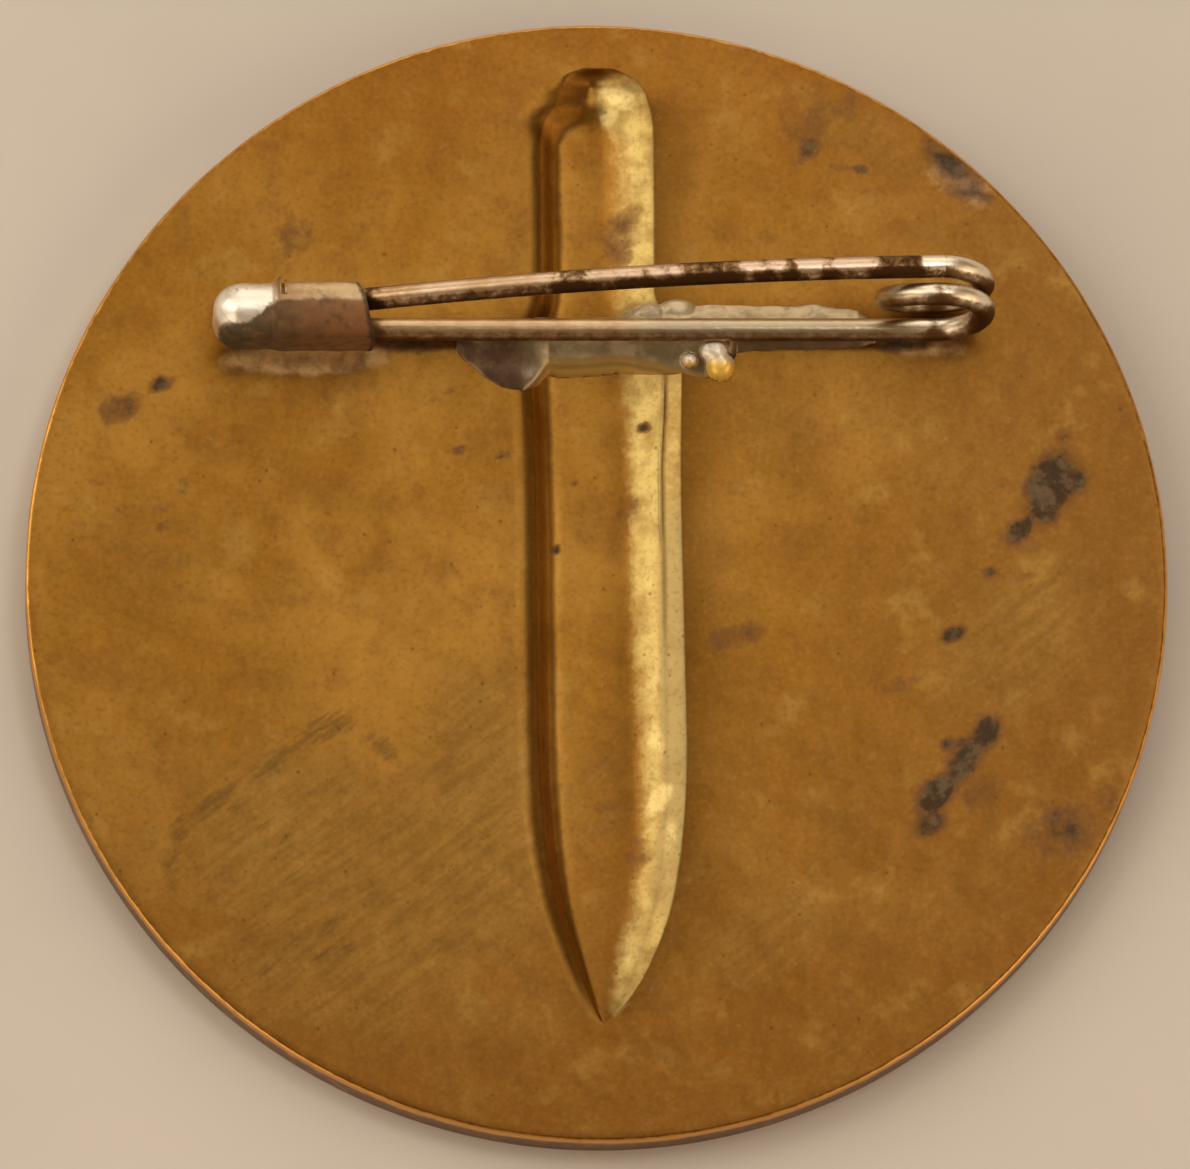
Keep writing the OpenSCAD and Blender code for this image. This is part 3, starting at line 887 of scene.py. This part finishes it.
def clouded(tree, place, size, one, two, low=0.38, high=0.62):
    """A colour that drifts between two others in clouds about size millimetres apart."""
    cloud = node(tree, "ShaderNodeTexNoise", {
        "Vector": place, "Scale": per(size), "Detail": 5.0, "Roughness": 0.6})
    return laid_over(tree, one, two, cloud, low, high)


def frayed(tree, place, name, size, amount):
    """The mesh's named value with its edge frayed by noise about size millimetres apart."""
    fray = node(tree, "ShaderNodeTexNoise", {
        "Vector": place, "Scale": per(size), "Detail": 6.0, "Roughness": 0.65, "Distortion": 0.4})
    shift = node(tree, "ShaderNodeMapRange", {
        "Value": fray, "From Min": 0.3, "From Max": 0.7, "To Min": -amount, "To Max": amount}, clamp=False)
    value = node(tree, "ShaderNodeAttribute", attribute_name=name).outputs["Fac"]
    return node(tree, "ShaderNodeMath", {0: value, 1: shift}, operation="ADD")


def uneven(tree, place, size, depth, strength, under=None, detail=4.0):
    """Lumps about size millimetres apart and depth millimetres high, on top of the unevenness under."""
    lumps = node(tree, "ShaderNodeTexNoise", {"Vector": place, "Scale": per(size), "Detail": detail})
    inputs = {"Height": lumps, "Distance": depth * MM, "Strength": strength}
    if under is not None:
        inputs["Normal"] = under
    return node(tree, "ShaderNodeBump", inputs)


def surface(material, **inputs):
    """Gives the material its metal or paint. Inputs are the shader's own, with _ for a space."""
    tree = material.node_tree
    skin = node(tree, "ShaderNodeBsdfPrincipled", {k.replace("_", " "): v for k, v in inputs.items()})
    node(tree, "ShaderNodeOutputMaterial", {"Surface": skin})
    return material


# Direction of the strokes on the bronze, from lower left to upper right, and length for their width
STROKE_ANGLE = 37
STROKE_LEN = 6


def struck_bronze():
    # Tombac struck in a die: a satin orange-brown metal, darker towards the right and the bottom as painted
    # shade, with olive strokes where fingers wore it, lighter gold on the blade's slope that is partly less
    # tarnished metal and partly a painted highlight, painted shade beside the blade, and soft dark stains.
    material, tree, place = new_finish("struck_bronze")
    at = node(tree, "ShaderNodeSeparateXYZ", {"Vector": place}).outputs
    strokes = node(tree, "ShaderNodeMapping", {
        "Vector": place, "Rotation": (0, 0, math.radians(STROKE_ANGLE)),
        "Scale": (STROKE_LEN, 1, 1)}, vector_type="TEXTURE")
    reddish = node(tree, "ShaderNodeTexNoise", {
        "Vector": place, "Scale": per(1.6), "Detail": 3.0, "Roughness": 0.6})
    pricks = node(tree, "ShaderNodeTexVoronoi", {"Vector": place, "Scale": per(0.75)})
    # a grain as fine as shows in the picture
    grain = node(tree, "ShaderNodeTexNoise", {
        "Vector": place, "Scale": per(0.14), "Detail": 2.0, "Roughness": 0.6})
    gold = clouded(tree, place, 0.7, "#c2ac6a", "#a68c52")
    olive = clouded(tree, strokes, 0.3, "#775828", "#8d6a31", 0.34, 0.66)
    halo = clouded(tree, place, 1.0, "#6a4a2e", "#755027")
    core = clouded(tree, place, 0.45, "#44372a", "#695a44", 0.42, 0.66)
    dull_dirt_and_light = frayed(tree, place, "dull_dirt_and_light", 0.6, 0.2)
    stain = frayed(tree, place, "stain", 0.7, 0.26)
    band, beside, wall = (node(tree, "ShaderNodeAttribute", attribute_name=name).outputs["Fac"]
                          for name in ("band", "beside", "wall"))
    body = coated(tree, clouded(tree, place, 5.0, "#986e2d", "#895f21"), [
        # painted shade: darker towards the right and the bottom, where less light falls, and browner at the
        # top
        ("#714b20", at["X"], 0.001, 0.016, 0.8),
        ("#714619", at["Y"], -0.001, -0.016, 0.78),
        ("#85561e", at["Y"], 0.009, 0.016, 0.6),
        ("#724a1e", reddish, 0.5, 0.72, 0.45),
        ("#9e7a3c", reddish, 0.46, 0.28, 0.45),
        # in the blade: gold on the slope, partly a painted highlight, greyer on the band beside it, painted
        # highlights on spots, painted shade beside the blade, and painted light on the shaded left wall
        (gold, frayed(tree, place, "slope", 0.3, 0.2), 0.05, 0.95, 0.95),
        ("#988658", band, 0, 1, 0.75),
        ("#e6d290", frayed(tree, place, "painted_highlight", 0.3, 0.22), 0.16, 0.9, 0.65),
        ("#5f3f15", beside, 0, 1, 0.7),
        ("#d2983e", wall, 0, 1),
        # olive tarnish in strokes, and the darker strokes of the fingermark
        (olive, frayed(tree, place, "tarnish", 1.5, 0.22), 0.05, 0.9, 0.7),
        ("#5c4422", frayed(tree, strokes, "grime", 0.17, 0.5), 0.3, 1.05, 0.62),
        # dirt without shine, under the hood also painted light in the hood's shadow, and stains: a
        # purple-brown halo and a dark core with paler grey grains in it, partly painted shade under the hood,
        # wire and coil
        ("#e0b87c", dull_dirt_and_light, 0.15, 0.85, 0.9),
        (halo, stain, 0.08, 0.5, 0.78),
        (core, stain, 0.45, 0.8, 0.92),
        # pinpricks, grain and the bright worn edge
        ("#5d3c18", pricks, 0.1, 0.03, 0.6),
        ("#60401a", grain, 0.5, 0.75, 0.3),
        ("#bd9450", grain, 0.5, 0.25, 0.08),
        ("#dca356", frayed(tree, place, "burnish", 0.5, 0.3), 0.25, 0.95),
    ])
    rough = node(tree, "ShaderNodeMapRange", {
        "Value": stain, "From Min": 0.2, "From Max": 0.9, "To Min": 0.38, "To Max": 0.55})
    metal = node(tree, "ShaderNodeMapRange", {
        "Value": dull_dirt_and_light, "From Min": 0.1, "From Max": 0.9, "To Min": 1.0, "To Max": 0.15})
    normal = uneven(tree, strokes, 0.14, 0.012, 0.2, detail=1.0)
    normal = uneven(tree, place, 0.75, 0.05, 0.35, normal, detail=1.0)
    return surface(material, Base_Color=body, Metallic=metal, Roughness=rough, Normal=normal)


def plated_steel(name, plate, right, rust, under, ragged):
    # Drawn steel wire, nickel plated: warm grey and fairly bright, of the colour right over its right part
    # and near white at the coil, with fine lines along it. Where the plating is gone it is dull brown. The
    # same brown is painted as shade on its near side by the share under, and it is patchier the higher ragged
    # is.
    material, tree, place = new_finish(name)
    at = node(tree, "ShaderNodeSeparateXYZ", {"Vector": place}).outputs
    drawn = node(tree, "ShaderNodeMapping", {"Vector": place, "Scale": (9, 1, 1)}, vector_type="TEXTURE")
    side = node(tree, "ShaderNodeAttribute", attribute_name="side").outputs["Fac"]
    # painted shade on the wire's near side, added to the share of bare steel
    near = node(tree, "ShaderNodeMapRange", {
        "Value": side, "From Min": -0.1, "From Max": -0.55, "To Max": under})
    bare = frayed(tree, place, "bare", 0.34, ragged)
    bare = node(tree, "ShaderNodeMath", {0: bare, 1: near}, operation="ADD")
    body = coated(tree, clouded(tree, place, 1.4, plate, "#c4a47e"), [
        (right, at["X"], 0.0002, 0.002, 0.8),
        ("#fbf2de", at["X"], 0.0084, 0.0092, 0.9),
        ("#866846", bare, 0.26, 0.6),
        (rust, bare, 0.5, 0.85),
    ])
    rough = node(tree, "ShaderNodeMapRange", {
        "Value": bare, "From Min": 0.3, "From Max": 0.8, "To Min": 0.34, "To Max": 0.52})
    normal = uneven(tree, drawn, 0.1, 0.01, 0.2)
    normal = uneven(tree, place, 0.22, 0.04, 0.3, normal)
    return surface(material, Base_Color=body, Metallic=1.0, Roughness=rough, Normal=normal)


def worn_nickel():
    # Pressed sheet with nickel plate: near white on the nose, where it is rubbed, and under a pinkish film
    # on the roof. Its near side is brown, painted shade with dirt in it, from greenish at the nose to reddish
    # at the mouth, the edge of which is painted nearly black as the shadow inside the mouth.
    material, tree, place = new_finish("worn_nickel")
    at = node(tree, "ShaderNodeSeparateXYZ", {"Vector": place}).outputs
    mottle = node(tree, "ShaderNodeTexNoise", {"Vector": place, "Scale": per(0.35), "Detail": 5.0})
    # the near side: painted shade with dirt in it, mottled, with less shine
    film = frayed(tree, place, "film", 0.3, 0.18)
    shade_and_dirt = coated(tree, "#54482c", [
        ("#8c6038", at["X"], -0.0103, -0.0068),
        ("#443622", mottle, 0.48, 0.66, 0.5),
        ("#8e6a42", mottle, 0.48, 0.32, 0.5),
    ])
    body = coated(tree, clouded(tree, place, 0.9, "#c4ae88", "#a88a66"), [
        ("#fbf6ea", at["X"], -0.0089, -0.0092),
        ("#8c7f68", frayed(tree, place, "film", 0.5, 0.7), 0.25, 0.75, 0.8),
        (shade_and_dirt, film, 0.25, 0.85, 0.94),
        # painted shadow inside the mouth, nearly black on its edge
        ("#3a2a1a", frayed(tree, place, "mouth", 0.3, 0.2), 0.1, 0.9, 0.85),
    ])
    rough = node(tree, "ShaderNodeMapRange", {
        "Value": film, "From Min": 0.3, "From Max": 0.7, "To Min": 0.42, "To Max": 0.62})
    metal = node(tree, "ShaderNodeMapRange", {
        "Value": film, "From Min": 0.3, "From Max": 0.8, "To Min": 1.0, "To Max": 0.35})
    normal = uneven(tree, place, 0.36, 0.06, 0.5)
    normal = uneven(tree, place, 0.14, 0.012, 0.25, normal)
    return surface(material, Base_Color=body, Metallic=metal, Roughness=rough, Normal=normal)


def soft_solder():
    # Tin-lead solder: grey, dull where it froze slowly and paler beyond the wire as painted light, with
    # purple-brown flux at its left and a painted shade under the wire along its lower right edge. Its drops
    # are near white, partly as a painted highlight, the lowest amber with flux. Bronze shows where it thins
    # out and where it runs down into the blade.
    material, tree, place = new_finish("soft_solder")
    at = node(tree, "ShaderNodeSeparateXYZ", {"Vector": place}).outputs
    drop = frayed(tree, place, "drop", 0.2, 0.12)
    flux = clouded(tree, place, 0.6, "#66503c", "#7c6850")
    # painted shade under the wire along the solder's lower right edge
    lower_right_shade = node(tree, "ShaderNodeMath", {0: at["X"], 1: at["Y"]}, operation="SUBTRACT")
    # drops: near white, partly a painted highlight, and amber low down where the flux is
    bright = laid_over(tree, "#ffffff", "#fff8e4", at["X"], 0.0027, 0.0033)
    bright = laid_over(tree, "#ffd460", bright, at["Y"], 0.006, 0.0064)
    # beyond the wire: paler as painted light on the side that faces the light, and less shiny
    beyond = node(tree, "ShaderNodeMapRange", {"Value": at["Y"], "From Min": 0.0072, "From Max": 0.0075})
    body = coated(tree, clouded(tree, place, 0.7, "#bcb090", "#948668"), [
        (flux, at["X"], -0.001, -0.0024),
        ("#66503a", lower_right_shade, -0.004, -0.0032, 0.8),
        (bright, drop, 0.25, 0.95, 0.9),
        (clouded(tree, place, 0.5, "#d0c09c", "#a49274"), beyond, 0, 1, 0.95),
        ("#a4843f", frayed(tree, place, "thin", 0.3, 0.2), 0.45, 0.95, 0.85),
        ("#dcbc68", at["Z"], 0.00145, 0.0012, 0.9),
    ])
    thin = node(tree, "ShaderNodeAttribute", attribute_name="thin").outputs["Fac"]
    dulled = node(tree, "ShaderNodeMath", {0: beyond, 1: thin}, operation="MAXIMUM")
    dulled = node(tree, "ShaderNodeMath", {0: dulled, 1: drop}, operation="MAXIMUM")
    metal = node(tree, "ShaderNodeMapRange", {"Value": dulled, "To Min": 0.9, "To Max": 0.45})
    normal = uneven(tree, place, 0.45, 0.02, 0.4, detail=2.0)
    return surface(material, Base_Color=body, Metallic=metal, Roughness=0.38, Normal=normal)


def pale_paint():
    # Matt wall paint on a smooth board.
    material, tree, place = new_finish("pale_floor_paint")
    return surface(material, Base_Color=clouded(tree, place, 40, "#cfcbc4", "#d6d2cb"), Roughness=0.75)


# Floor, light and camera

# The floor's reach from the middle, and how far it lies below the badge
FLOOR_REACH, FLOOR_GAP = 1500, 0.02
SKY, SKY_STRENGTH = "#dcb484", 0.28
# Square lights of even brightness that face the badge: name, direction, distance and size in metres,
# brightness and colour
SOFTBOXES = [
    ("overhead", (0.08, 0.42, 0.9), 0.5, (0.42, 0.34), 1.2, "#fff4e6"),
    ("left", (-0.74, 0.28, 0.61), 0.5, (0.26, 0.5), 2.3, "#fff2e0"),
    ("far", (0.0, 0.92, 0.4), 0.6, (0.6, 0.34), 1.4, "#fff0dc"),
    ("front", (-0.1, -0.96, 0.26), 0.6, (0.7, 0.2), 0.3, "#ffe6c8"),
    ("right", (0.9, -0.2, 0.36), 0.6, (0.6, 0.36), 0.9, "#ffd8b0"),
    ("front_left", (-0.7, -0.55, 0.46), 0.6, (0.4, 0.4), 1.6, "#ffe8d0"),
    ("front_right", (0.7, -0.55, 0.46), 0.6, (0.4, 0.4), 1.2, "#ffe8d0"),
    ("nose_light", (0.27, 0.13, 0.95), 0.5, (0.11, 0.11), 5.0, "#ffffff"),
]


def make_stage():
    around = ((-1, -1), (1, -1), (1, 1), (-1, 1))
    corners = [(x * FLOOR_REACH, y * FLOOR_REACH, -FLOOR_GAP) for x, y in around]
    floor = finish_mesh("floor", corners, [(0, 1, 2, 3)], pale_paint(), {})
    world = bpy.data.worlds.new("studio")
    world.use_nodes = True
    sky = world.node_tree.nodes["Background"].inputs
    sky["Color"].default_value = linear(SKY)
    sky["Strength"].default_value = SKY_STRENGTH
    bpy.context.scene.world = world
    for name, direction, away, size, brightness, colour in SOFTBOXES:
        light = bpy.data.lights.new(name, "AREA")
        light.shape = "RECTANGLE"
        light.size, light.size_y = size
        light.energy = brightness * math.pi * size[0] * size[1]
        light.color = linear(colour)[:3]
        lamp = placed(name, light)
        lamp.location = Vector(direction).normalized() * away
        lamp.rotation_mode = "QUATERNION"
        lamp.rotation_quaternion = (Vector() - lamp.location).to_track_quat("-Z", "Y")


# How the photograph looks at the badge: turned about Z, above the level, how wide a piece it shows, where
# it looks, and from how far
VIEW_AZIMUTH = -10.7
VIEW_ELEVATION = 77.4
PICTURE_W = 33.3
LOOK_AT = (-0.067, -0.163, BACK)
CAMERA_AWAY = 420.0


def make_camera():
    azimuth, elevation = math.radians(VIEW_AZIMUTH), math.radians(VIEW_ELEVATION)
    back = Vector((math.sin(azimuth) * math.cos(elevation), -math.cos(azimuth) * math.cos(elevation),
                   math.sin(elevation)))
    across = Vector((1, 0, 0))
    right = (across - across.dot(back) * back).normalized()
    up = back.cross(right)
    data = bpy.data.cameras.new("camera")
    data.sensor_width = 36.0
    data.lens = data.sensor_width * CAMERA_AWAY / PICTURE_W
    data.clip_start, data.clip_end = 0.01, 10.0
    camera = placed("camera", data)
    spot = (Vector(LOOK_AT) + back * CAMERA_AWAY) * MM
    turned = Matrix((right, up, back)).transposed().to_4x4()
    camera.matrix_world = Matrix.Translation(spot) @ turned
    bpy.context.scene.camera = camera


make_camera()
make_stage()
bpy.context.scene.view_settings.view_transform = "Standard"

wire_tree = sweep_tree()
steel = plated_steel("plated_steel_wire", "#d8c29c", "#beb298", "#6c4e30", 0.42, 0.14)
needle_steel = plated_steel("plated_steel_needle", "#d8c0a4", "#dec4ae", "#4c331e", 0.52, 0.3)
dressed = [
    (make_disc(struck_bronze()), "badge", ["disc"], "bronze"),
    (make_pin_wire(wire_tree, steel), "badge", ["pin_wire"], "pin_steel"),
    (make_solder(soft_solder()), "badge", ["pin_wire"], "pin_steel"),
    (make_hood(worn_nickel()), "badge", ["clasp_hood"], "hood_nickel"),
    (make_needle(wire_tree, needle_steel), "needle", ["pin_arm"], "needle_steel"),
]
for piece, body, nodes, slot in dressed:
    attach(piece, body)
    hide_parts(*nodes)
